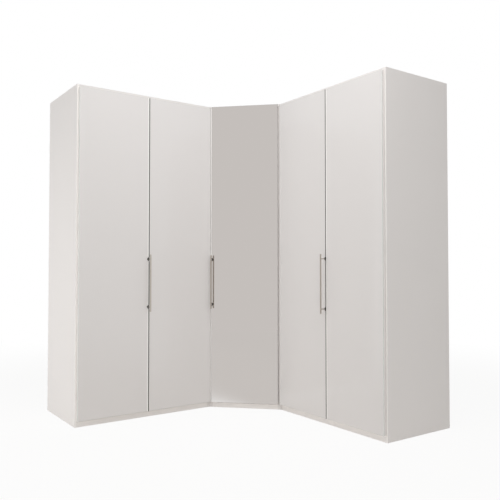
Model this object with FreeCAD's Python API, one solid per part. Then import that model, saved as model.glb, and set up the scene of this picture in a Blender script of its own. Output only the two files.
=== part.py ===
import FreeCAD, Part
import math
import os

from FreeCAD import Placement, Rotation, Vector

# Corner wardrobe: two straight wings with folding door pairs and a corner unit with a mirror door.
# All sizes are in millimetres. The origin is the room corner on the floor.
# The left wall is the plane X = 0, the right wall is the plane Y = 0, and +Z is up.
# The left wing faces +X, the right wing faces -Y, and the mirror door faces between them.

# Whole wardrobe
height = 2160.0
depth = 562.0
wing_length = 977.0
corner_length = 932.0

# Boards
board = 16.0
shelf_board = 22.0
back_board = 6.0
plinth_height = 37.0
batten = 40.0
fit_gap = 0.5
edge_round = 1.0

# Doors
door_gap = 2.0
carrier_board = 14.0
glass = 4.0
glass_bevel = 1.2
seam = 4.0
overlap = 4.5
corner_gap = 1.0
door_lift = 2.0
mirror_rise = 13.0
mirror_margin = 23.0
post_depth = 80.0
closing_gap = 1.5
closing_setback = 2.0

# Inside fittings
hat_space = 272.0
shelf_setback = 40.0
rail_drop = 80.0
rail_radius = 12.5
rail_wall = 1.2
rail_bend = 110.0
flange_radius = 22.0
flange_plate = 3.0
socket_length = 14.0
socket_wall = 2.5
pin_radius = 2.5
pin_reach = 9.0
pin_inset = 60.0
pin_step = 32.0
pin_rows = 5
foot_radius = 20.0
foot_taper = 0.8
foot_pad = 8.0
stem_radius = 6.0
foot_inset = 70.0
corner_foot_x = 140.0

# Concealed hinges
pivot_in = 6.0
pivot_behind = 6.0
cup_radius = 17.5
cup_inset = 22.0
cup_depth = 11.0
cup_wall = 1.0
cup_flange = 20.0
ear_reach = 27.0
ear_width = 14.0
hinge_count = 5
hinge_end = 100.0
arm_radius = 20.0
arm_thick = 3.0
arm_width = 12.0
arm_body = 8.0
arm_back = 61.0
arm_sweep = 48.0
tip_gap = 0.3
plate_thick = 2.5
plate_setback = 37.0
plate_long = 33.0
plate_wide = 16.0
wing_plate = 48.0
wing_plate_width = 10.0
running_fit = 0.05

# Seam hinges between the two leaves of a pair
knuckle_behind = 6.0
knuckle_radius = 4.0
seam_pin_radius = 2.0
seam_hinge_length = 60.0
knuckle_share = 0.3
knuckle_gap = 0.3
leaf_plate = 2.0
leaf_plate_width = 28.0
seam_hinge_count = 4
seam_hinge_end = 330.0

# Guide fitting at the free edge of the inner leaf
guide_drop = 45.0
track_width = 22.0
track_height = 14.0
track_wall = 1.6
track_slot = 8.0
track_setback = 18.0
slider_length = 24.0
slider_play = 0.5
slider_reach = 24.0
slider_corner = 2.5
boss_half = 7.0

# Handles
handle_height = 894.0
handle_length = 380.0
handle_pitch = 320.0
handle_width = 10.0
handle_thick = 5.0
handle_edge = 1.5
handle_standoff = 38.0
handle_post_radius = 3.0
handle_inset = 4.5
notch_base = 28.0
notch_depth = 15.0
foot_play = 0.2
foot_proud = 0.4

# Worked out from the sizes above
underside = height - board
floor_top = plinth_height + board
hat_shelf_height = underside - hat_space - shelf_board
door_bottom = plinth_height + door_lift
door_top = underside - door_lift
mirror_top = door_top + mirror_rise
carrier_front = door_gap + carrier_board
door_front = carrier_front + glass
pivot_out = door_front - pivot_behind
leaf_start = board - overlap
leaf_width = (wing_length - leaf_start - corner_gap - seam) / 2
diagonal = (corner_length - depth) * math.sqrt(2)
mirror_width = diagonal - 2 * mirror_margin
post_width = mirror_margin + overlap
cup_height = door_top - guide_drop
inner_side = corner_length - board
outer_end = corner_length + wing_length

os.makedirs("parts", exist_ok=True)


def save(name, *solids):
    Part.makeCompound(list(solids)).exportStep("parts/" + name + ".step")


def block(x0, x1, y0, y1, z0, z1):
    return Part.makeBox(x1 - x0, y1 - y0, z1 - z0, Vector(x0, y0, z0))


def prism(outline, low, high):
    corners = [Vector(x, y, low) for x, y in outline]
    face = Part.Face(Part.makePolygon(corners + corners[:1]))
    return face.extrude(Vector(0, 0, high - low))


def soft_front(panel):
    # The edge band leaves the two long corners of a board's front edge slightly round.
    front = panel.BoundBox.XMax - fit_gap
    rims = [edge for edge in panel.Edges if edge.BoundBox.XMin > front and edge.Length > batten]
    return panel.makeFillet(edge_round, rims)


def soft_diagonal(panel):
    # The same, for a board whose front edge runs at 45 degrees across the corner.
    front = max(vertex.X - vertex.Y for vertex in panel.Vertexes) - fit_gap
    middles = [(edge.CenterOfMass, edge) for edge in panel.Edges if edge.Length > batten]
    return panel.makeFillet(edge_round, [edge for middle, edge in middles if middle.x - middle.y > front])


def rod(start, end, radius):
    run = end - start
    return Part.makeCylinder(radius, run.Length, start, run)


def spread(first, last, count):
    step = (last - first) / (count - 1)
    return [first + step * number for number in range(count)]


def other_hand(shape):
    # The two wings, and the two sides of the corner unit, are mirror images about the corner's bisector.
    return shape.mirror(Vector(0, 0, 0), Vector(1, 1, 0))


# A front frame has X out of the carcass front, Y along it from the hinged end, and Z up.
wing_front = Placement(Vector(depth, -outer_end, 0), Rotation(Vector(0, 0, 1), 0))
corner_front = Placement(Vector(depth, -corner_length, 0), Rotation(Vector(0, 0, 1), -45))


def placed(shape, front, along=0.0):
    moved = shape.copy()
    moved.Placement = front * Placement(Vector(0, along, 0), Rotation()) * shape.Placement
    return moved


def on_wing(shape):
    return placed(shape, wing_front, leaf_start)


def on_corner(shape):
    return other_hand(placed(shape, corner_front, mirror_margin))


def across_seam(shape):
    # The inner leaf is the outer leaf's mirror image about the seam's centre.
    return shape.mirror(Vector(0, leaf_width + seam / 2, 0), Vector(0, 1, 0))


# Carcass boards

# Shelf pins stand in two columns, near the front and the back of each side panel.
pin_columns = [pin_inset, depth - shelf_setback - pin_inset]


def drilled(panel, face_y, into):
    # Each column has a few holes at the usual spacing, so that the shelf can be moved.
    for x in pin_columns:
        for row in range(pin_rows):
            z = hat_shelf_height - pin_radius + pin_step * (row - pin_rows // 2)
            start = Vector(x, face_y, z)
            panel = panel.cut(rod(start, start + Vector(0, into * pin_reach, 0), pin_radius + running_fit))
    return panel


def end_panel():
    panel = soft_front(block(0, depth, -outer_end, board - outer_end, 0, height))
    return drilled(panel, board - outer_end, -1)


def wing_inner_side():
    panel = soft_front(block(0, depth, -corner_length - board, -corner_length, 0, height))
    return drilled(panel, -corner_length - board, 1)


def wing_bay(x0, x1, z0, z1, gap=0.0):
    return block(x0, x1, board - outer_end + gap, -corner_length - board - gap, z0, z1)


def corner_side():
    # The front end is cut at 45 degrees, where the front post is glued on.
    outline = [(0, -corner_length), (depth, -corner_length)]
    outline += [(depth - board, -inner_side), (0, -inner_side)]
    return drilled(prism(outline, 0, height), -inner_side, -1)


def corner_plan(setback, gap=0.0):
    # Five-sided plan between the two corner side panels, its front parallel to the mirror door.
    near = -inner_side + gap
    front = depth + (near + corner_length) - setback * math.sqrt(2)
    left = [(back_board, near), (front, near)]
    right = [(-near, -front), (-near, -back_board)]
    return left + right + [(back_board, -back_board)]


def corner_slab(low, high):
    # The whole five-sided plan, less the two side panels.
    outline = [(0, 0), (0, -corner_length), (depth, -corner_length), (corner_length, -depth)]
    outline.append((corner_length, 0))
    slab = prism(outline, low, high)
    for side in (corner_side(), other_hand(corner_side())):
        slab = slab.cut(side)
    return slab


def post_stock():
    return block(-post_depth, 0, 0, post_width, 0, underside)


def front_post():
    return placed(soft_front(post_stock()), corner_front)


def post_notch():
    # The floor and the shelf are sawn out square round a front post.
    return placed(post_stock(), corner_front)


def closing_strip():
    # Glued on the left front post, it fills the wedge between the leaf's end and the mirror door's edge.
    start = (closing_gap - corner_gap) * math.sqrt(2)
    front = door_front - closing_setback
    end = mirror_margin - closing_gap
    outline = [(0, start), (front, start + front), (front, end), (0, end)]
    return placed(prism(outline, door_bottom, door_top), corner_front)


def corner_floor():
    floor = corner_slab(plinth_height, floor_top)
    for post in (post_notch(), other_hand(post_notch()), back_post()):
        floor = floor.cut(post)
    return floor


def corner_plinth():
    return placed(block(-board, 0, post_width, diagonal - post_width, 0, plinth_height), corner_front)


def back_post():
    return block(0, batten, -batten, 0, 0, underside)


def corner_back():
    return block(0, back_board, -inner_side, -batten, floor_top, underside)


def corner_shelf():
    outline = corner_plan(shelf_setback + board, fit_gap)
    shelf = soft_diagonal(prism(outline, hat_shelf_height, hat_shelf_height + shelf_board))
    corner = batten + fit_gap
    for notch_shape in (post_notch(), other_hand(post_notch())):
        shelf = shelf.cut(notch_shape)
    return shelf.cut(block(0, corner, -corner, 0, 0, height))


# Rails, pins and feet

rail_height = hat_shelf_height - rail_drop
rail_depth = depth / 2


def wing_rail():
    start = Vector(rail_depth, board - outer_end + flange_plate, rail_height)
    end = Vector(rail_depth, -corner_length - board - flange_plate, rail_height)
    return rod(start, end, rail_radius).cut(rod(start, end, rail_radius - rail_wall))


def bent_rod(radius):
    # One straight run out of each side panel and a quarter bend between them.
    turn = -rail_depth - rail_bend
    start = Vector(rail_depth, -inner_side + flange_plate, rail_height)
    bend_start = Vector(rail_depth, turn, rail_height)
    first = rod(start, bend_start, radius)
    centre = Vector(rail_depth + rail_bend, turn, rail_height)
    ring = Part.Face(Part.Wire(Part.makeCircle(radius, bend_start, Vector(0, 1, 0))))
    bend = ring.revolve(centre, Vector(0, 0, -1), 90)
    return first.fuse([bend, other_hand(first)]).removeSplitter()


def corner_rail():
    return bent_rod(rail_radius).cut(bent_rod(rail_radius - rail_wall))


def flange(place, direction):
    plate = Part.makeCylinder(flange_radius, flange_plate, place, direction)
    socket = Part.makeCylinder(rail_radius + running_fit + socket_wall, socket_length, place, direction)
    hollow_start = place + direction * flange_plate
    hollow = Part.makeCylinder(rail_radius + running_fit, socket_length, hollow_start, direction)
    return plate.fuse(socket).removeSplitter().cut(hollow)


def wing_flanges():
    outer = flange(Vector(rail_depth, board - outer_end, rail_height), Vector(0, 1, 0))
    inner = flange(Vector(rail_depth, -corner_length - board, rail_height), Vector(0, -1, 0))
    corner = flange(Vector(rail_depth, -inner_side, rail_height), Vector(0, 1, 0))
    return [outer, inner, corner]


def shelf_pin(x, face_y, out):
    start = Vector(x, face_y - out * pin_reach, hat_shelf_height - pin_radius)
    return rod(start, Vector(x, face_y + out * pin_reach, hat_shelf_height - pin_radius), pin_radius)


def shelf_pins():
    pins = []
    for x in pin_columns:
        pins.append(shelf_pin(x, board - outer_end, 1))
        pins.append(shelf_pin(x, -corner_length - board, -1))
        pins.append(shelf_pin(x, -inner_side, 1))
    return pins


def levelling_foot(x, y):
    pad = Part.makeCone(foot_radius, foot_radius * foot_taper, foot_pad, Vector(x, y, 0))
    stem = Part.makeCylinder(stem_radius, plinth_height - foot_pad, Vector(x, y, foot_pad))
    return pad.fuse(stem)


def wing_feet():
    places_y = (board - outer_end + foot_inset, -corner_length - board - foot_inset)
    places_x = (foot_inset, depth - board - foot_inset)
    feet = [levelling_foot(x, y) for x in places_x for y in places_y]
    return feet + [levelling_foot(corner_foot_x, -inner_side + foot_inset)]


# Doors, in the leaf's own frame: Y runs along the leaf from its hinged edge

def cup_bore(z, radius, depth_in):
    return Part.makeCylinder(radius, depth_in, Vector(door_gap, cup_inset, z), Vector(1, 0, 0))


def carrier(width, cups, top=door_top):
    panel = block(door_gap, carrier_front, 0, width, door_bottom, top)
    for z in cups:
        panel = panel.cut(cup_bore(z, cup_radius, cup_depth))
    return panel


def front_glass(width, top=door_top):
    pane = block(carrier_front, door_front, 0, width, door_bottom, top)
    rim = [edge for edge in pane.Edges if edge.BoundBox.XMin > door_front - fit_gap]
    return pane.makeChamfer(glass_bevel, rim)


def hinge_cup(z):
    cup = cup_bore(z, cup_radius - running_fit, cup_depth)
    rim_start = Vector(door_gap - cup_wall, cup_inset, z)
    rim = Part.makeCylinder(cup_flange, cup_wall, rim_start, Vector(1, 0, 0))
    ears = block(door_gap - cup_wall, door_gap, cup_inset - ear_width / 2, cup_inset + ear_width / 2,
                 z - ear_reach, z + ear_reach)
    hollow_start = Vector(door_gap - 2 * cup_wall, cup_inset, z)
    hollow_radius = cup_radius - running_fit - cup_wall
    hollow = Part.makeCylinder(hollow_radius, cup_depth + cup_wall, hollow_start, Vector(1, 0, 0))
    return cup.fuse([rim, ears]).removeSplitter().cut(hollow)


def at_pivot(reach, behind, z):
    # A point given by its distance into the leaf from the pivot line, and behind that line.
    return Vector(pivot_out - behind, pivot_in + reach, z)


def on_arc(radius, angle, z):
    return at_pivot(radius * math.cos(angle), radius * math.sin(angle), z)


def tip_angle():
    # The arm's tip stops just short of the cup's floor.
    floor_behind = pivot_out - (door_gap + cup_depth - cup_wall)
    return math.asin((floor_behind + tip_gap) / arm_radius)


def raised(edges, thickness):
    face = Part.Face(Part.Wire(edges))
    return face.extrude(Vector(0, 0, thickness))


def hinge_arm(z):
    # A curved arm, round about the pivot line, reaches from the side panel into the cup.
    low = z - arm_width / 2
    tip, end = tip_angle(), math.radians(arm_sweep)
    outer = arm_radius + arm_thick
    near = plate_thick + overlap - pivot_in
    far = near + arm_body
    inner_arc = [on_arc(arm_radius, a, low) for a in (tip, (tip + end) / 2, end)]
    outer_arc = [on_arc(outer, a, low) for a in (end, (tip + end) / 2, tip)]

    def meet(radius, reach):
        run = (radius * math.cos(end) - reach) / math.sin(end)
        return at_pivot(reach, radius * math.sin(end) + run * math.cos(end), low)

    back = pivot_out + arm_back
    corners = [inner_arc[2], meet(arm_radius, near), at_pivot(near, back, low), at_pivot(far, back, low),
               meet(outer, far), outer_arc[0]]
    edges = [Part.Arc(*inner_arc).toShape()]
    edges += [Part.LineSegment(a, b).toShape() for a, b in zip(corners, corners[1:])]
    edges += [Part.Arc(*outer_arc).toShape(), Part.LineSegment(outer_arc[2], inner_arc[0]).toShape()]
    arm = raised(edges, arm_width)
    plate = block(-plate_setback - plate_long / 2, plate_long / 2 - plate_setback, overlap,
                  overlap + plate_thick, z - plate_wide / 2, z + plate_wide / 2)
    wings = block(-plate_setback - wing_plate_width / 2, wing_plate_width / 2 - plate_setback, overlap,
                  overlap + plate_thick, z - wing_plate / 2, z + wing_plate / 2)
    return arm.fuse([plate, wings]).removeSplitter()


def seam_knuckles(z, outer_side):
    # The outer leaf has the two end knuckles and the inner leaf the middle one.
    edge = leaf_width
    axis_y = edge + seam / 2
    axis_x = door_gap - knuckle_behind
    end = seam_hinge_length * knuckle_share
    spans = [(0, end), (seam_hinge_length - end, seam_hinge_length)]
    if not outer_side:
        spans = [(end + knuckle_gap, seam_hinge_length - end - knuckle_gap)]
    low = z - seam_hinge_length / 2
    pieces = []
    for start, stop in spans:
        ring = Part.makeCylinder(knuckle_radius, stop - start, Vector(axis_x, axis_y, low + start))
        web = block(axis_x, door_gap, axis_y - knuckle_radius, edge, low + start, low + stop)
        pieces += [ring, web]
    high = low + seam_hinge_length
    plate = block(door_gap - leaf_plate, door_gap, edge - leaf_plate_width, edge, low, high)
    half = plate.fuse(pieces).removeSplitter()
    bore = Part.makeCylinder(seam_pin_radius + running_fit, seam_hinge_length, Vector(axis_x, axis_y, low))
    half = half.cut(bore)
    return half if outer_side else across_seam(half)


def seam_pin(z):
    place = Vector(door_gap - knuckle_behind, leaf_width + seam / 2, z - seam_hinge_length / 2)
    return Part.makeCylinder(seam_pin_radius, seam_hinge_length, place)


# Handles, on the leaf edge that lies away from the hinged edge

def notch(width, z, size_off, thickness):
    base = notch_base / 2 - size_off
    deep = notch_depth - size_off
    start = carrier_front
    corners = [Vector(start, width, z - base), Vector(start, width - deep, z), Vector(start, width, z + base)]
    return Part.Face(Part.makePolygon(corners + corners[:1])).extrude(Vector(thickness, 0, 0))


def post_heights():
    return [handle_height - handle_pitch / 2, handle_height + handle_pitch / 2]


def notched_glass(width, top=door_top):
    pane = front_glass(width, top)
    for z in post_heights():
        pane = pane.cut(notch(width, z, 0, glass + glass_bevel))
    return pane


def handle_feet(width):
    return [notch(width, z, foot_play, glass + foot_proud) for z in post_heights()]


def handle(width):
    y = width - handle_inset
    out = door_front + handle_standoff
    bar = block(out - handle_thick / 2, out + handle_thick / 2, y - handle_width / 2, y + handle_width / 2,
                handle_height - handle_length / 2, handle_height + handle_length / 2)
    bar = bar.makeFillet(handle_edge, bar.Edges)
    for z in post_heights():
        start = door_front + foot_proud
        bar = bar.fuse(rod(Vector(start, y, z), Vector(out, y, z), handle_post_radius))
    return bar.removeSplitter()


# Guide fitting, carried by the inner leaf's free edge and running in the track under the top panel

def guide_arm():
    z = cup_height
    low = z - arm_width / 2
    outer = arm_radius + arm_thick
    tip = tip_angle()
    inner_end = math.asin(pivot_out / arm_radius)
    outer_end_angle = math.asin(pivot_out / outer)
    inner_arc = [on_arc(arm_radius, a, low) for a in (tip, (tip + inner_end) / 2, inner_end)]
    outer_arc = [on_arc(outer, a, low) for a in (outer_end_angle, (tip + outer_end_angle) / 2, tip)]
    near = arm_radius * math.cos(inner_end)
    far = slider_reach + boss_half
    track_behind = pivot_out + track_setback + track_width / 2
    back, front = track_behind + boss_half, track_behind - boss_half
    corners = [inner_arc[2], at_pivot(near, back, low), at_pivot(far, back, low), at_pivot(far, front, low),
               outer_arc[0]]
    edges = [Part.Arc(*inner_arc).toShape()]
    edges += [Part.LineSegment(a, b).toShape() for a, b in zip(corners, corners[1:])]
    edges += [Part.Arc(*outer_arc).toShape(), Part.LineSegment(outer_arc[2], inner_arc[0]).toShape()]
    arm = raised(edges, arm_width)
    foot = at_pivot(slider_reach, track_behind, z)
    stem = rod(foot, Vector(foot.x, foot.y, slider_bottom()), handle_post_radius)
    return across_seam(arm.fuse(stem).removeSplitter())


def slider_bottom():
    return underside - track_height + track_wall + slider_play


def guide_slider():
    track_behind = pivot_out + track_setback + track_width / 2
    centre = at_pivot(slider_reach, track_behind, 0)
    half = track_width / 2 - track_wall - slider_play
    low = slider_bottom()
    high = underside - track_wall - slider_play
    half_length = slider_length / 2
    body = block(centre.x - half, centre.x + half, centre.y - half_length, centre.y + half_length, low, high)
    upright = [edge for edge in body.Edges if edge.BoundBox.ZLength > slider_corner]
    return across_seam(body.makeFillet(slider_corner, upright))


def guide_track():
    x1 = -track_setback
    x0 = x1 - track_width
    y0, y1 = board, wing_length - board
    low = underside - track_height
    channel = block(x0, x1, y0, y1, low, underside)
    hollow = block(x0 + track_wall, x1 - track_wall, y0, y1, low + track_wall, underside - track_wall)
    middle = (x0 + x1) / 2
    slot = block(middle - track_slot / 2, middle + track_slot / 2, y0, y1, low, low + track_wall)
    return placed(channel.cut(hollow).cut(slot), wing_front)


# Every piece is built for the left wing and for the right half of the corner, then mirrored where needed

hinge_heights = spread(door_bottom + hinge_end, door_top - hinge_end, hinge_count)
seam_heights = spread(door_bottom + seam_hinge_end, door_top - seam_hinge_end, seam_hinge_count)


def both(name, shape):
    save("left_" + name, shape)
    save("right_" + name, other_hand(shape))


def both_groups(name, shapes):
    save("left_" + name, *shapes)
    save("right_" + name, *[other_hand(shape) for shape in shapes])


def paired(shapes):
    return shapes + [other_hand(shape) for shape in shapes]


def carcass():
    both("end_panel", end_panel())
    both("inner_side", wing_inner_side())
    both("top_panel", soft_front(wing_bay(0, depth, underside, height)))
    both("bottom_panel", soft_front(wing_bay(0, depth, plinth_height, floor_top)))
    both("back_panel", wing_bay(0, back_board, floor_top, underside))
    both("plinth", wing_bay(depth - board, depth, 0, plinth_height))
    shelf_top = hat_shelf_height + shelf_board
    shelf = wing_bay(back_board + fit_gap, depth - shelf_setback, hat_shelf_height, shelf_top, fit_gap)
    both("shelf", soft_front(shelf))
    both("clothes_rail", wing_rail())
    save("corner_left_side", corner_side())
    save("corner_right_side", other_hand(corner_side()))
    save("corner_top_panel", soft_diagonal(corner_slab(underside, height)))
    save("corner_bottom_panel", corner_floor())
    save("corner_left_back", corner_back())
    save("corner_right_back", other_hand(corner_back()))
    save("corner_back_post", back_post())
    save("corner_left_front_post", front_post(), closing_strip())
    save("corner_right_front_post", other_hand(front_post()))
    save("corner_plinth", corner_plinth())
    save("corner_shelf", corner_shelf())
    save("corner_clothes_rail", corner_rail())


def fittings():
    save("guide_tracks", *paired([guide_track()]))
    save("rail_flanges", *paired(wing_flanges()))
    save("shelf_pins", *paired(shelf_pins()))
    save("levelling_feet", *paired(wing_feet()))
    arms = [hinge_arm(z) for z in hinge_heights]
    save("hinge_arms", *(paired([on_wing(arm) for arm in arms]) + [on_corner(arm) for arm in arms]))


def folding_doors():
    both("outer_panel", on_wing(carrier(leaf_width, hinge_heights)))
    both("inner_panel", on_wing(across_seam(carrier(leaf_width, [cup_height]))))
    save("left_outer_glass", on_wing(notched_glass(leaf_width)))
    save("left_inner_glass", on_wing(across_seam(front_glass(leaf_width))))
    save("right_outer_glass", other_hand(on_wing(front_glass(leaf_width))))
    save("right_inner_glass", other_hand(on_wing(across_seam(notched_glass(leaf_width)))))
    both_groups("outer_hinge_cups", [on_wing(hinge_cup(z)) for z in hinge_heights])
    outer_halves = [on_wing(seam_knuckles(z, True)) for z in seam_heights]
    pins = [on_wing(seam_pin(z)) for z in seam_heights]
    both_groups("seam_hinge_outer", outer_halves + pins)
    inner_halves = [on_wing(seam_knuckles(z, False)) for z in seam_heights]
    guide_cup = on_wing(across_seam(hinge_cup(cup_height)))
    both_groups("inner_hinge_set", inner_halves + [guide_cup])
    both("guide_arm", on_wing(guide_arm()))
    both("guide_slider", on_wing(guide_slider()))
    save("left_handle", on_wing(handle(leaf_width)))
    save("left_handle_feet", *[on_wing(foot) for foot in handle_feet(leaf_width)])
    save("right_handle", other_hand(on_wing(across_seam(handle(leaf_width)))))
    feet = [on_wing(across_seam(foot)) for foot in handle_feet(leaf_width)]
    save("right_handle_feet", *[other_hand(foot) for foot in feet])


def mirror_door():
    save("mirror_panel", on_corner(carrier(mirror_width, hinge_heights, mirror_top)))
    save("mirror_glass", on_corner(notched_glass(mirror_width, mirror_top)))
    save("mirror_hinge_cups", *[on_corner(hinge_cup(z)) for z in hinge_heights])
    save("mirror_handle", on_corner(handle(mirror_width)))
    save("mirror_handle_feet", *[on_corner(foot) for foot in handle_feet(mirror_width)])


carcass()
fittings()
folding_doors()
mirror_door()
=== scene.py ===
import bmesh
import bpy
import math
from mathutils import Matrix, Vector


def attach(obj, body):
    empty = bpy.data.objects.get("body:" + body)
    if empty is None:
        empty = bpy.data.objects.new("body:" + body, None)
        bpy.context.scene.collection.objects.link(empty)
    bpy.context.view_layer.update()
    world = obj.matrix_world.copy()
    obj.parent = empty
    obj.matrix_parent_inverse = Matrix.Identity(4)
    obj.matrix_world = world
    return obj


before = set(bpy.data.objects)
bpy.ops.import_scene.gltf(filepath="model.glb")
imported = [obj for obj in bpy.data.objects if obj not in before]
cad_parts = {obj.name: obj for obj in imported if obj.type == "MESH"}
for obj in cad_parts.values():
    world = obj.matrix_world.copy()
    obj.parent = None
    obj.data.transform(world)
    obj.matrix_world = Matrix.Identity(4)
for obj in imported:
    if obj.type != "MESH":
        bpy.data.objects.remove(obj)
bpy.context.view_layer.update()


# White boards
# Every panel of the carcass is chipboard faced with white melamine. The pressed film has a fine
# pearl structure, and over a tall panel it is very slightly cloudy. The leaves have the same board.

def new_group(name, inputs, outputs):
    group = bpy.data.node_groups.new(name, "ShaderNodeTree")
    for label, kind, value in inputs:
        socket = group.interface.new_socket(label, in_out="INPUT", socket_type=kind)
        socket.default_value = value
    for label, kind in outputs:
        group.interface.new_socket(label, in_out="OUTPUT", socket_type=kind)
    given, out = group.nodes.new("NodeGroupInput"), group.nodes.new("NodeGroupOutput")
    return group, given.outputs, out.inputs


def node(tree, kind, links=(), **settings):
    made = tree.nodes.new(kind)
    for label, value in settings.items():
        setattr(made, label, value)
    for socket, source in dict(links).items():
        if isinstance(source, bpy.types.NodeSocket):
            tree.links.new(source, made.inputs[socket])
        else:
            made.inputs[socket].default_value = source
    return made


def maths(tree, operation, *values):
    return node(tree, "ShaderNodeMath", enumerate(values), operation=operation).outputs[0]


def object_place(tree):
    return node(tree, "ShaderNodeTexCoord").outputs["Object"]


def noise(tree, place, scale, detail):
    links = {"Vector": place, "Scale": scale, "Detail": detail}
    return node(tree, "ShaderNodeTexNoise", links).outputs["Fac"]


def bumps(tree, height, distance):
    links = {"Height": height, "Distance": distance, "Strength": 1.0}
    return node(tree, "ShaderNodeBump", links).outputs["Normal"]


def surface_skin():
    # Colour with soft clouds, roughness that follows them, and a fine pearl for the bump.
    group, given, out = new_group(
        "surface skin",
        [("Colour", "NodeSocketColor", (0.8, 0.8, 0.8, 1)),
         ("Cloud Size", "NodeSocketFloat", 0.4),
         ("Cloud Strength", "NodeSocketFloat", 0.03),
         ("Pearl Size", "NodeSocketFloat", 0.001),
         ("Roughness", "NodeSocketFloat", 0.4),
         ("Roughness Spread", "NodeSocketFloat", 0.05)],
        [("Colour", "NodeSocketColor"),
         ("Roughness", "NodeSocketFloat"),
         ("Height", "NodeSocketFloat")])
    place = object_place(group)
    clouds = noise(group, place, maths(group, "DIVIDE", 1.0, given["Cloud Size"]), detail=2.0)
    pearl = noise(group, place, maths(group, "DIVIDE", 1.0, given["Pearl Size"]), detail=1.0)
    centred = maths(group, "SUBTRACT", clouds, 0.5)
    shade = maths(group, "MULTIPLY_ADD", centred, given["Cloud Strength"], 1.0)
    rough = maths(group, "MULTIPLY_ADD", centred, given["Roughness Spread"], given["Roughness"])
    tinted = node(group, "ShaderNodeVectorMath", {0: given["Colour"], "Scale": shade},
                  operation="SCALE")
    group.links.new(tinted.outputs[0], out["Colour"])
    group.links.new(rough, out["Roughness"])
    group.links.new(pearl, out["Height"])
    return group


skin_group = surface_skin()


def new_material(name):
    material = bpy.data.materials.new(name)
    material.use_nodes = True
    tree = material.node_tree
    return material, tree, tree.nodes["Principled BSDF"]


def lay_on(tree, shader, colour, roughness, normal):
    for socket, source in (("Base Color", colour), ("Roughness", roughness), ("Normal", normal)):
        tree.links.new(source, shader.inputs[socket])


def coated(name, colour, roughness, pearl=0.001, bump=0.00002, clouds=0.03, cloud_size=0.4,
           spread=0.05, **constants):
    material, tree, shader = new_material(name)
    skin = node(tree, "ShaderNodeGroup", node_tree=skin_group)
    values = {"Colour": (*colour, 1), "Cloud Size": cloud_size, "Cloud Strength": clouds,
              "Pearl Size": pearl, "Roughness": roughness, "Roughness Spread": spread}
    for label, value in values.items():
        skin.inputs[label].default_value = value
    relief = bumps(tree, skin.outputs["Height"], bump)
    lay_on(tree, shader, skin.outputs["Colour"], skin.outputs["Roughness"], relief)
    for label, value in constants.items():
        shader.inputs[label.replace("_", " ")].default_value = value
    return material


def dress(material, *names):
    for name in names:
        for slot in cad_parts[name].material_slots:
            slot.material = material


board_white = (0.80, 0.772, 0.758)
white_board = coated("white melamine", board_white, roughness=0.42)
leaf_board = coated("white leaf board", board_white, roughness=0.38)
for wing in ("left_", "right_"):
    boards = ("end_panel", "inner_side", "top_panel", "bottom_panel")
    dress(white_board, *[wing + name for name in boards])
    dress(leaf_board, wing + "outer_panel", wing + "inner_panel")
dress(white_board, "corner_left_side", "corner_right_side", "corner_top_panel",
      "corner_bottom_panel", "corner_back_post", "corner_left_front_post",
      "corner_right_front_post")
dress(leaf_board, "mirror_panel")


# Plinth boards
# The plinths stand between the side panels under the floor of each unit. Their white is painted
# brighter than the boards, as painted light for the floor's bounce under the overhanging doors.

# Painted light: this white is brighter than the board white, standing in for light thrown up by the
# floor.
plinth_white_with_painted_light = (0.90, 0.868, 0.85)
plinth_board = coated("plinth white, painted light", plinth_white_with_painted_light, roughness=0.35, clouds=0.02)
dress(plinth_board, "left_plinth", "right_plinth", "corner_plinth")


# Back panels
# The backs are thin fibreboard, painted white on the room side only, so they are duller than the
# melamine and show the fibre's fine mottling.

back_white = (0.76, 0.73, 0.70)
painted_fibre = coated("painted fibreboard", back_white, roughness=0.65, pearl=0.0025,
                       bump=0.00004, clouds=0.06, cloud_size=0.12)
dress(painted_fibre, "left_back_panel", "right_back_panel", "corner_left_back",
      "corner_right_back")


# Hat shelves
# The shelves are the same board, thicker, because they carry boxes over the whole width of a bay.
# They lie on steel pins in the side panels.

shelf_board = coated("shelf melamine", board_white, roughness=0.40, clouds=0.025)
dress(shelf_board, "left_shelf", "right_shelf", "corner_shelf")


# Clothes rails
# The rails are round steel tube, chromed. Each end stands in the socket of a flange, which is
# screwed to a side panel.

chrome_grey = (0.74, 0.74, 0.73)
chrome = coated("chromed tube", chrome_grey, roughness=0.09, pearl=0.004, bump=0.000004,
                clouds=0.04, spread=0.08, Metallic=1.0)
dress(chrome, "left_clothes_rail", "right_clothes_rail", "corner_clothes_rail", "rail_flanges")


# Hinges
# Cups, arms, seam hinges and the guide arms are pressed steel with a nickel plating, a little
# uneven in its shine. The pins that carry the shelves are plated too.

nickel_grey = (0.58, 0.57, 0.55)
nickel = coated("nickel plating", nickel_grey, roughness=0.28, pearl=0.0008, bump=0.00001,
                clouds=0.08, cloud_size=0.02, spread=0.15, Metallic=1.0)
dress(nickel, "hinge_arms", "shelf_pins", "mirror_hinge_cups")
for wing in ("left_", "right_"):
    fittings = ("outer_hinge_cups", "seam_hinge_outer", "inner_hinge_set", "guide_arm")
    dress(nickel, *[wing + name for name in fittings])


# Screws of the fittings
# Small steel screws with a crossed slot hold the fittings: two in each cup's ears and each hinge
# plate, two that adjust each arm, and three in each half of a seam hinge and each rail flange.

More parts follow.
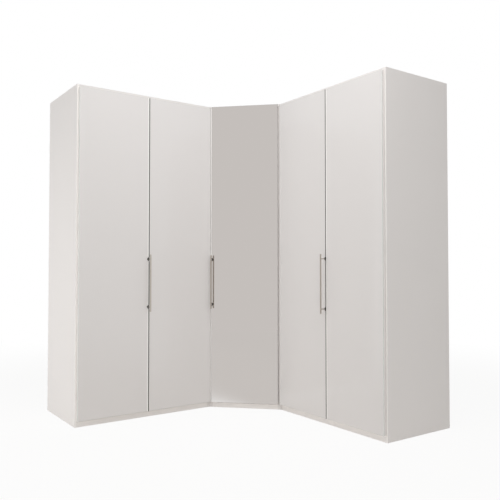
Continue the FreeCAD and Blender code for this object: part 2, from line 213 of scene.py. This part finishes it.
depth, corner_length, wing_length, board = 0.562, 0.932, 0.977, 0.016
outer_end = corner_length + wing_length
leaf_start, leaf_width, seam = 0.0115, 0.48025, 0.004
outer_edge = leaf_start + leaf_width
inner_edge = outer_edge + seam
inner_end = inner_edge + leaf_width
mirror_start = 0.023
door_bottom, door_top = 0.039, 2.142
hinge_end, hinge_count = 0.100, 5
seam_hinge_end, seam_hinge_count = 0.330, 4
guide_cup_end = 0.045
screw_radius, screw_crown, screw_height = 0.0034, 0.00289, 0.0006
slot_width, slot_length = 0.0009, 0.0044
cup_inset, cup_face, ear_screw = 0.022, 0.001, 0.0235
plate_lift, plate_behind, plate_screw = 0.007, -0.037, 0.019
arm_top, arm_screws = 0.015, (-0.024, -0.046)
seam_screws = ((0.020, -0.020), (0.020, 0.020), (0.011, 0.0))
rail_height, rail_depth = 1.770, 0.281
flange_face, flange_ring, flange_turns = 0.003, 0.0185, (90, 210, 330)


def spread_out(first, last, count):
    return [first + (last - first) * number / (count - 1) for number in range(count)]


hinge_heights = spread_out(door_bottom + hinge_end, door_top - hinge_end, hinge_count)
seam_heights = spread_out(door_bottom + seam_hinge_end, door_top - seam_hinge_end,
                          seam_hinge_count)


def other_hand(point):
    # The same place or way on the other wing, mirrored across the corner's diagonal.
    return (-point[1], -point[0], point[2])


def on_left(out, along, z):
    # A place on the left wing: out from the carcass front, along from the outer end, and up.
    return (depth + out, along - outer_end, z)


def on_right(out, along, z):
    return other_hand(on_left(out, along, z))


def on_corner(out, along, z):
    # The same on the corner's front, along from its hinged side, the right one.
    run = math.sqrt(0.5)
    return (corner_length + (out - along) * run, -depth - (out + along) * run, z)


def facing(place, out, along):
    # The way a fitting looks, given out of the front and along it.
    return tuple(Vector(place(out, along, 0)) - Vector(place(0, 0, 0)))


def in_cups(place, start, turn, heights):
    return [(place(cup_face, start + turn * cup_inset, z + step), facing(place, -1, 0))
            for z in heights for step in (-ear_screw, ear_screw)]


def in_plates(place, start):
    look = facing(place, 0, 1)
    plates = [(place(plate_behind, start + plate_lift, z + step), look)
              for z in hinge_heights for step in (-plate_screw, plate_screw)]
    arms = [(place(out, start + arm_top, z), look) for z in hinge_heights for out in arm_screws]
    return plates + arms


def in_seam_hinges(place, edge, turn):
    return [(place(0, edge + turn * inset, z + step), facing(place, -1, 0))
            for z in seam_heights for inset, step in seam_screws]


def in_flange(y, way):
    # Three screws around the rail on a wall of the left wing or the corner, and its mirror image.
    left = []
    for turn in flange_turns:
        x = rail_depth + flange_ring * math.cos(math.radians(turn))
        z = rail_height + flange_ring * math.sin(math.radians(turn))
        left.append(((x, y + way * flange_face, z), (0, way, 0)))
    return left + [(other_hand(spot), other_hand(look)) for spot, look in left]


def geometry_tree(name, sizes):
    tree = bpy.data.node_groups.new(name, "GeometryNodeTree")
    inputs = {"Geometry": "NodeSocketGeometry", "Material": "NodeSocketMaterial"}
    for label, kind in {**inputs, **dict.fromkeys(sizes, "NodeSocketFloat")}.items():
        tree.interface.new_socket(label, in_out="INPUT", socket_type=kind)
    tree.interface.new_socket("Geometry", in_out="OUTPUT", socket_type="NodeSocketGeometry")
    given, out = tree.nodes.new("NodeGroupInput"), tree.nodes.new("NodeGroupOutput")
    return tree, given.outputs, out.inputs


def crossed(tree, head, given):
    # The head with two bars cut out of its crown, half as deep as the head is high.
    cut = node(tree, "GeometryNodeMeshBoolean", {0: head}, operation="DIFFERENCE",
               solver="EXACT")
    height = given["Height"]
    lift = node(tree, "ShaderNodeCombineXYZ", {"Z": height})
    for wide, deep in (("Slot Width", "Slot Length"), ("Slot Length", "Slot Width")):
        size = node(tree, "ShaderNodeCombineXYZ", {"X": given[wide], "Y": given[deep], "Z": height})
        bar = node(tree, "GeometryNodeMeshCube", {"Size": size.outputs[0]})
        raised = node(tree, "GeometryNodeTransform",
                      {"Geometry": bar.outputs["Mesh"], "Translation": lift.outputs[0]})
        tree.links.new(raised.outputs[0], cut.inputs[1])
    return cut.outputs[0]


def round_heads(name, sides, slotted):
    # A low round head at every point, looking the way the point looks, plain or slotted.
    slots = ["Slot Width", "Slot Length"] if slotted else []
    tree, given, out = geometry_tree(name, ["Radius", "Crown", "Height"] + slots)
    head = node(tree, "GeometryNodeMeshCone",
                {"Vertices": sides, "Radius Top": given["Crown"],
                 "Radius Bottom": given["Radius"], "Depth": given["Height"]}).outputs["Mesh"]
    if slotted:
        head = crossed(tree, head, given)
    look = node(tree, "GeometryNodeInputNamedAttribute", {"Name": "look"},
                data_type="FLOAT_VECTOR").outputs["Attribute"]
    turned = node(tree, "FunctionNodeAlignRotationToVector", {"Vector": look}, axis="Z")
    heads = node(tree, "GeometryNodeInstanceOnPoints",
                 {"Points": given["Geometry"], "Instance": head, "Rotation": turned.outputs[0]})
    solid = node(tree, "GeometryNodeRealizeInstances", {0: heads.outputs[0]})
    finished = node(tree, "GeometryNodeSetMaterial",
                    {0: solid.outputs[0], "Material": given["Material"]})
    tree.links.new(finished.outputs[0], out["Geometry"])
    return tree


def new_piece(name, mesh):
    piece = bpy.data.objects.new(name, mesh)
    bpy.context.scene.collection.objects.link(piece)
    return piece


def set_out(name, body, tree, spots, material, sizes):
    # The tree's heads on all the spots of one body, as one plain mesh.
    mesh = bpy.data.meshes.new(name)
    mesh.from_pydata([spot for spot, look in spots], [], [])
    looks = mesh.attributes.new("look", "FLOAT_VECTOR", "POINT")
    looks.data.foreach_set("vector", [part for spot, look in spots for part in look])
    piece = new_piece(name, mesh)
    modifier = piece.modifiers.new("set out", "NODES")
    modifier.node_group = tree
    values = {"Material": material, **sizes}
    for socket in tree.interface.items_tree:
        if socket.in_out == "INPUT" and socket.name in values:
            modifier[socket.identifier] = values[socket.name]
    finished = piece.evaluated_get(bpy.context.evaluated_depsgraph_get())
    piece.data = bpy.data.meshes.new_from_object(finished)
    piece.modifiers.clear()
    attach(piece, body)


screw_tree = round_heads("screw heads", sides=12, slotted=True)
screw_sizes = {"Radius": screw_radius, "Crown": screw_crown, "Height": screw_height,
               "Slot Width": slot_width, "Slot Length": slot_length}
screws = {"carcass": in_plates(on_left, leaf_start) + in_plates(on_right, leaf_start)}
screws["carcass"] += in_plates(on_corner, mirror_start)
for y, way in ((board - outer_end, 1), (-corner_length - board, -1), (board - corner_length, 1)):
    screws["carcass"] += in_flange(y, way)
for wing, place in (("left", on_left), ("right", on_right)):
    screws[wing + "_outer_leaf"] = (in_cups(place, leaf_start, 1, hinge_heights)
                                    + in_seam_hinges(place, outer_edge, -1))
    screws[wing + "_inner_leaf"] = (in_cups(place, inner_end, -1, [door_top - guide_cup_end])
                                    + in_seam_hinges(place, inner_edge, 1))
screws["mirror_door"] = in_cups(on_corner, mirror_start, 1, hinge_heights)
for body, spots in screws.items():
    set_out(body + "_screws", body, screw_tree, spots, nickel, screw_sizes)


# Cover caps and door buffers
# White plastic caps close the cam locks that pull the boards together, two at each end of the top
# and bottom panels. Soft clear buffers are stuck where a closed door comes to rest on the carcass.

underside, floor_low, floor_top = 2.144, 0.037, 0.053
cap_radius, cap_crown, cap_height = 0.009, 0.00765, 0.0008
cap_inset, cap_columns = 0.034, (0.060, 0.500)
cap_white = (0.80, 0.79, 0.77)
buffer_radius, buffer_crown, buffer_height = 0.0045, 0.0036, 0.0016
first_buffer, last_buffer, beside_seam, beside_post = 0.100, 0.900, 0.060, 0.110
buffers_below = (first_buffer, outer_edge - beside_seam, inner_edge + beside_seam, last_buffer)
buffers_beside, buffer_inset = (0.200, 1.100, 2.000), 0.0075
diagonal = (corner_length - depth) * math.sqrt(2)
corner_buffers = (beside_post, diagonal - beside_post)
buffer_grey = (0.55, 0.55, 0.53)
cap_plastic = coated("white cap plastic", cap_white, roughness=0.35, clouds=0.01, cloud_size=0.01)
buffer_plastic = coated("soft buffer", buffer_grey, roughness=0.25, clouds=0.03, cloud_size=0.01)
stud_tree = round_heads("caps and buffers", sides=20, slotted=False)
cap_rows = (board + cap_inset, wing_length - board - cap_inset, wing_length + board + cap_inset)
caps = []
for z, way in ((underside, -1), (floor_top, 1)):
    for along in cap_rows:
        for x in cap_columns:
            spot = (x, along - outer_end, z)
            caps += [(spot, (0, 0, way)), (other_hand(spot), (0, 0, way))]
set_out("cover_caps", "carcass", stud_tree, caps, cap_plastic,
        {"Radius": cap_radius, "Crown": cap_crown, "Height": cap_height})
floor_edge = (floor_low + floor_top) / 2
rests = [(along, floor_edge) for along in buffers_below]
rests += [(wing_length - buffer_inset, z) for z in buffers_beside]
fronts = [(on_left, rests), (on_right, rests)]
fronts += [(on_corner, [(along, floor_edge) for along in corner_buffers])]
buffers = [(place(0, along, z), facing(place, 1, 0)) for place, rests in fronts
           for along, z in rests]
set_out("door_buffers", "carcass", stud_tree, buffers, buffer_plastic,
        {"Radius": buffer_radius, "Crown": buffer_crown, "Height": buffer_height})


# Guide tracks and sliders
# The tracks are drawn aluminium channel, anodised, under the top panels. The sliders in them are
# white plastic.

track_grey, slider_pale = (0.60, 0.60, 0.60), (0.82, 0.82, 0.80)
anodised = coated("anodised aluminium", track_grey, roughness=0.40, pearl=0.0006, clouds=0.03,
                  Metallic=1.0)
slider_white = coated("white slider plastic", slider_pale, roughness=0.35, clouds=0.01)
dress(anodised, "guide_tracks")
dress(slider_white, "left_guide_slider", "right_guide_slider")


# Levelling feet
# The feet under the boards are black moulded plastic with a screw stem, finely grained and with
# hardly any shine.

moulding_black = (0.012, 0.012, 0.012)
black_moulding = coated("black moulding", moulding_black, roughness=0.5, pearl=0.0007,
                        bump=0.00003, clouds=0.2, Specular_IOR_Level=0.15)
dress(black_moulding, "levelling_feet")


# Glass fronts
# Each leaf is faced with float glass, lacquered white behind. The face is flat and very smooth,
# and only the sawn and polished edge shows the glass itself.

wave_scale, haze_scale = 2.2, 9.0
haze_low, haze_high = 0.7, 1.3
face_limit = 0.9
glass_bend = 1.52


def vectors(tree, operation, *values):
    return node(tree, "ShaderNodeVectorMath", enumerate(values), operation=operation).outputs


def pane(name, face_colour, edge_colour, front, metallic, roughness, waves):
    # The face is where the surface looks to the front, and all the rest is edge.
    material, tree, shader = new_material(name)
    place = object_place(tree)
    looks = node(tree, "ShaderNodeTexCoord").outputs["Normal"]
    ahead = vectors(tree, "DOT_PRODUCT", looks, front)["Value"]
    face = maths(tree, "GREATER_THAN", ahead, face_limit)
    colours = {"Factor": face, "A": (*edge_colour, 1), "B": (*face_colour, 1)}
    colour = node(tree, "ShaderNodeMix", colours, data_type="RGBA").outputs["Result"]
    haze = noise(tree, place, haze_scale, detail=3.0)
    rough = node(tree, "ShaderNodeMapRange",
                 {"Value": haze, "To Min": roughness * haze_low,
                  "To Max": roughness * haze_high}).outputs[0]
    relief = bumps(tree, noise(tree, place, wave_scale, detail=0.0), waves)
    lay_on(tree, shader, colour, rough, relief)
    if metallic:
        tree.links.new(face, shader.inputs["Metallic"])
    shader.inputs["IOR"].default_value = glass_bend
    return material


left_front, right_front = (1.0, 0.0, 0.0), (0.0, -1.0, 0.0)
lacquer_white = (0.77, 0.747, 0.738)
glass_edge = (0.66, 0.70, 0.67)
for wing, front in (("left_", left_front), ("right_", right_front)):
    lacquered = pane(wing + "lacquered glass", lacquer_white, glass_edge, front, metallic=False,
                     roughness=0.05, waves=0.0004)
    dress(lacquered, wing + "outer_glass", wing + "inner_glass")


# Seam of the leaves
# A black bulb on the outer leaf's edge fills the gap and stands a little proud, as painted shade
# for the dark seam. Beside it a slim near-white strip is a painted highlight for the glass bevel's
# glint. On the left wing both stop at the handle's feet.

door_front, glass_bevel = 0.020, 0.0012
lip_back, lip_front, lip_start, lip_reach, lip_round = 0.006, 0.0225, 0.0004, 0.0036, 0.001
trim_from, trim_to, trim_proud, trim_round = 0.0094, 0.0014, 0.0005, 0.0002
foot_heights, foot_room = (0.734, 1.054), 0.0155
# Painted shade: the lip's black stands in for the shadow inside the seam's gap.
seam_shade_black = (0.035, 0.033, 0.031)
# Painted highlight: this near-white strip stands in for the glint on the glass bevel beside the
# seam.
highlight_white = (0.95, 0.93, 0.91)
seam_shade = coated("black rubber", seam_shade_black, roughness=0.6, pearl=0.0006, bump=0.00003,
                clouds=0.15, cloud_size=0.05)
painted_highlight_strip = coated("painted highlight strip", highlight_white, roughness=0.3, pearl=0.0008, clouds=0.015,
                    cloud_size=0.08)


def drawn_strip(name, body, place, section, runs, material):
    # A drawn section, given by places out and along, over each run of height.
    form = bmesh.new()
    for low, high in runs:
        foot = [form.verts.new(place(out, along, low)) for out, along in section]
        head = [form.verts.new(place(out, along, high)) for out, along in section]
        for here, next_here, above, next_above in zip(foot, foot[1:] + foot[:1],
                                                      head, head[1:] + head[:1]):
            form.faces.new((here, next_here, next_above, above))
        form.faces.new(foot)
        form.faces.new(head)
    bmesh.ops.recalc_face_normals(form, faces=form.faces)
    mesh = bpy.data.meshes.new(name)
    form.to_mesh(mesh)
    form.free()
    mesh.materials.append(material)
    piece = new_piece(name, mesh)
    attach(piece, body)


def flat_section(back, front, start, end, edge):
    # A flat strip, its two front corners slightly broken.
    return [(back, start), (front - edge, start), (front, start + edge),
            (front, end - edge), (front - edge, end), (back, end)]


bevel_back = door_front - glass_bevel
lip_near, lip_far = outer_edge - lip_start, outer_edge + lip_reach
lip_section = [(lip_back, outer_edge), (bevel_back, outer_edge), (bevel_back + lip_start, lip_near),
               (lip_front - lip_round, lip_near), (lip_front, lip_near + lip_round),
               (lip_front, lip_far - lip_round), (lip_front - lip_round, lip_far),
               (lip_back, lip_far)]
trim_section = flat_section(door_front, door_front + trim_proud, outer_edge - trim_from,
                            outer_edge - trim_to, trim_round)
whole = [(door_bottom, door_top)]
stops = [z + step for z in foot_heights for step in (-foot_room, foot_room)]
ends = [door_bottom] + stops + [door_top]
parted = list(zip(ends[::2], ends[1::2]))
for wing, place, runs in (("left", on_left, parted), ("right", on_right, whole)):
    body = wing + "_outer_leaf"
    drawn_strip(wing + "_seam_lip", body, place, lip_section, runs, seam_shade)
    drawn_strip(wing + "_highlight_strip", body, place, trim_section, runs, painted_highlight_strip)


# Edge bands and corner trims
# White bands are glued on the end panels' front edges. Beside the mirror lie a flat white trim on
# the left strip and a hollow one on the right post, which leaves room for the turning door. Bands
# and trims are painted whiter than the boards, as painted light where the doors shade them.

# Painted light: this white is brighter than the board white, making up for the shade the doors cast
# on these edges.
band_white_painted_light = (0.92, 0.89, 0.87)
band_edge, band_thick, band_round = 0.0007, 0.0004, 0.0001
trim_face, trim_lift, trim_start, trim_end = 0.018, 0.0006, 0.0150, 0.0223
hollow_trim = [(0.0, 0.0012), (0.0125, 0.0130), (0.0130, 0.0136), (0.0130, 0.0146),
               (0.0100, 0.0153), (0.0070, 0.0166), (0.0045, 0.0184), (0.0025, 0.0208),
               (0.0, 0.0225)]
band = coated("bright edge band, painted light", band_white_painted_light, roughness=0.3, pearl=0.0008, clouds=0.015)


def on_corner_left(out, along, z):
    # The corner's front again, along from its left end.
    return other_hand(on_corner(out, along, z))


band_section = flat_section(-band_thick, band_thick, band_edge, board - band_edge, band_round)
left_trim = flat_section(trim_face, trim_face + trim_lift, trim_start, trim_end, band_round)
full_height = [(0.0, underside + board)]
for name, place, section, runs in (("left_edge_band", on_left, band_section, full_height),
                                   ("right_edge_band", on_right, band_section, full_height),
                                   ("corner_left_trim", on_corner_left, left_trim, whole),
                                   ("corner_right_trim", on_corner, hollow_trim, whole)):
    drawn_strip(name, "carcass", place, section, runs, band)


# Mirror
# The corner door's pane is silvered behind, with the same polished edge. Its edge looks grey,
# partly because the silvering and its backing paint show through the rim, and partly as painted
# shade for the dark gap line around the door.

mirror_front = (math.sqrt(0.5), -math.sqrt(0.5), 0.0)
silver = (0.86, 0.85, 0.84)
# Partly painted shade: the rim's dark grey also stands for the shadow gap along the mirror's top
# and sides.
mirror_edge_and_gap_shade = (0.46, 0.47, 0.46)
silvered = pane("silvered glass", silver, mirror_edge_and_gap_shade, mirror_front, metallic=True,
                roughness=0.012, waves=0.0002)
dress(silvered, "mirror_glass")


# Bar handles
# The handles are flat bars of satin nickel on two round posts. Each post goes through a black
# three-cornered foot, let into a notch of the glass, and is screwed through the leaf from behind.

door_gap, post_inset = 0.002, 0.0045
satin_nickel = (0.55, 0.505, 0.455)
dark_line, light_line = 0.88, 1.1
line_stretch, line_relief = 0.02, 0.00001
smooth_line, rough_line = 0.7, 1.35


def brushed(name, colour, roughness, streaks):
    # Fine lines along the bar, in tone, shine and relief.
    material, tree, shader = new_material(name)
    scale = (streaks, streaks, streaks * line_stretch)
    stretched = node(tree, "ShaderNodeMapping", {"Vector": object_place(tree), "Scale": scale})
    lines = noise(tree, stretched.outputs[0], scale=1.0, detail=4.0)
    rough = node(tree, "ShaderNodeMapRange",
                 {"Value": lines, "To Min": roughness * smooth_line,
                  "To Max": roughness * rough_line}).outputs[0]
    dark, light = [(*[part * share for part in colour], 1) for share in (dark_line, light_line)]
    tone = node(tree, "ShaderNodeMix", {"Factor": lines, "A": dark, "B": light}, data_type="RGBA")
    lay_on(tree, shader, tone.outputs["Result"], rough, bumps(tree, lines, line_relief))
    shader.inputs["Metallic"].default_value = 1.0
    return material


handle_metal = brushed("satin nickel bar", satin_nickel, roughness=0.3, streaks=900.0)
for door in ("left_", "right_", "mirror_"):
    dress(handle_metal, door + "handle")
    dress(black_moulding, door + "handle_feet")
posts = (("left_outer_leaf", on_left, outer_edge - post_inset),
         ("right_inner_leaf", on_right, inner_edge + post_inset),
         ("mirror_door", on_corner, diagonal - mirror_start - post_inset))
for body, place, along in posts:
    spots = [(place(door_gap, along, z), facing(place, -1, 0)) for z in foot_heights]
    set_out(body + "_handle_screws", body, screw_tree, spots, nickel, screw_sizes)


# Floor and surroundings
# A pale floor and a plain pale room. Seen directly both are white. What the glass and the mirror
# show of them falls from white to a warm grey on the room's side of the corner.

floor_reach, floor_drop = 40.0, 0.0005
room_side = (0.574, -0.819, 0.0)
corner_place = (0.9, -0.6, 0.0)
grey_starts, grey_full = 0.25, 0.95
seen_white = (1.0, 1.0, 1.0, 1)
room_grey = (0.645, 0.613, 0.594, 1)
floor_pale = (0.88, 0.85, 0.80, 1)
floor_share, share_centre = 0.08, (0.9, -0.9, 0.0)
share_falls, share_ends = 2.0, 5.0
ambient = 0.375


def seen_directly(tree):
    path = node(tree, "ShaderNodeLightPath").outputs
    first = maths(tree, "MAXIMUM", path["Is Camera Ray"], path["Is Glossy Ray"])
    return maths(tree, "MAXIMUM", first, path["Is Transmission Ray"])


def falling_grey(tree, way):
    # White, but grey for a mirrored ray that goes to the room's side.
    towards = vectors(tree, "DOT_PRODUCT", way, room_side)["Value"]
    share = node(tree, "ShaderNodeMapRange",
                 {"Value": towards, "From Min": grey_starts, "From Max": grey_full},
                 interpolation_type="SMOOTHSTEP").outputs[0]
    mirrored = node(tree, "ShaderNodeLightPath").outputs["Is Glossy Ray"]
    colours = {"Factor": maths(tree, "MULTIPLY", share, mirrored), "A": seen_white, "B": room_grey}
    return node(tree, "ShaderNodeMix", colours, data_type="RGBA").outputs["Result"]


def mixed(tree, share, first, second):
    links = {0: share, 1: first.outputs[0], 2: second.outputs[0]}
    return node(tree, "ShaderNodeMixShader", links)


mesh = bpy.data.meshes.new("floor")
corners = ((-1, -1), (1, -1), (1, 1), (-1, 1))
mesh.from_pydata([(x * floor_reach, y * floor_reach, -floor_drop) for x, y in corners], [],
                 [(0, 1, 2, 3)])
floor = new_piece("floor", mesh)
material, tree, shader = new_material("pale floor")
tree.nodes.remove(shader)
place = object_place(tree)
way = vectors(tree, "NORMALIZE", vectors(tree, "SUBTRACT", place, corner_place)[0])[0]
seen = node(tree, "ShaderNodeEmission", {"Color": falling_grey(tree, way), "Strength": 1.0})
lit = node(tree, "ShaderNodeBsdfDiffuse", {"Color": floor_pale})

# Near the wardrobe a small share of the floor is lit, so its soft shadow shows.
away = vectors(tree, "DISTANCE", place, share_centre)["Value"]
near = node(tree, "ShaderNodeMapRange",
            {"Value": away, "From Min": share_falls, "From Max": share_ends,
             "To Min": floor_share, "To Max": 0.0}, interpolation_type="SMOOTHSTEP")
shown = mixed(tree, near.outputs[0], seen, lit)
floor_mix = mixed(tree, seen_directly(tree), lit, shown)
tree.links.new(floor_mix.outputs[0], tree.nodes["Material Output"].inputs["Surface"])
mesh.materials.append(material)

world = bpy.data.worlds.new("plain room")
bpy.context.scene.world = world
world.use_nodes = True
tree = world.node_tree
around = node(tree, "ShaderNodeTexCoord").outputs["Generated"]
plain = tree.nodes["Background"]
plain.inputs["Color"].default_value = seen_white
plain.inputs["Strength"].default_value = ambient
view = node(tree, "ShaderNodeBackground", {"Color": falling_grey(tree, around), "Strength": 1.0})
world_mix = mixed(tree, seen_directly(tree), plain, view)
tree.links.new(world_mix.outputs[0], tree.nodes["World Output"].inputs["Surface"])


# Lights
# Four soft lamps: one high before the corner, one on the right like a window, a small one that
# brightens the left wing's doors high up, and one low on the left for that wing's end.

def lamp(name, place, aim, size, power):
    data = bpy.data.lights.new(name, "AREA")
    data.shape = "RECTANGLE"
    data.size, data.size_y = size
    data.energy = power
    made = new_piece(name, data)
    made.location = place
    made.rotation_euler = (Vector(aim) - Vector(place)).to_track_quat("-Z", "Y").to_euler()
    made.visible_camera = False
    made.visible_glossy = False


lamp("high light", (2.4, -2.0, 4.6), aim=(1.0, -1.0, 1.2), size=(2.0, 2.0), power=28.0)
lamp("right window", (5.9, -1.9, 1.9), aim=(0.9, -0.9, 1.1), size=(3.0, 2.4), power=48.0)
lamp("front light", (2.0, -1.6, 2.8), aim=(0.6, -1.4, 2.0), size=(1.5, 1.5), power=8.0)
lamp("left light", (0.4, -5.0, 0.85), aim=(0.3, -1.9, 0.85), size=(2.5, 1.2), power=46.0)


# Camera
# It stands at the eye height of a seated person, before the corner and a little to the right, and
# looks very slightly up.

camera_place = (4.2667, -3.1820, 1.0081)
camera_bearing = math.radians(54.8356)
camera_tilt = math.radians(1.5229)
sensor = 36.0
focal = 43.175
data = bpy.data.cameras.new("camera")
data.sensor_width = sensor
data.lens = focal
camera = new_piece("camera", data)
camera.location = camera_place
ahead = Vector((-math.sin(camera_bearing), math.cos(camera_bearing), math.tan(camera_tilt)))
camera.rotation_euler = ahead.to_track_quat("-Z", "Y").to_euler()
bpy.context.scene.camera = camera
bpy.context.scene.view_settings.view_transform = "Standard"
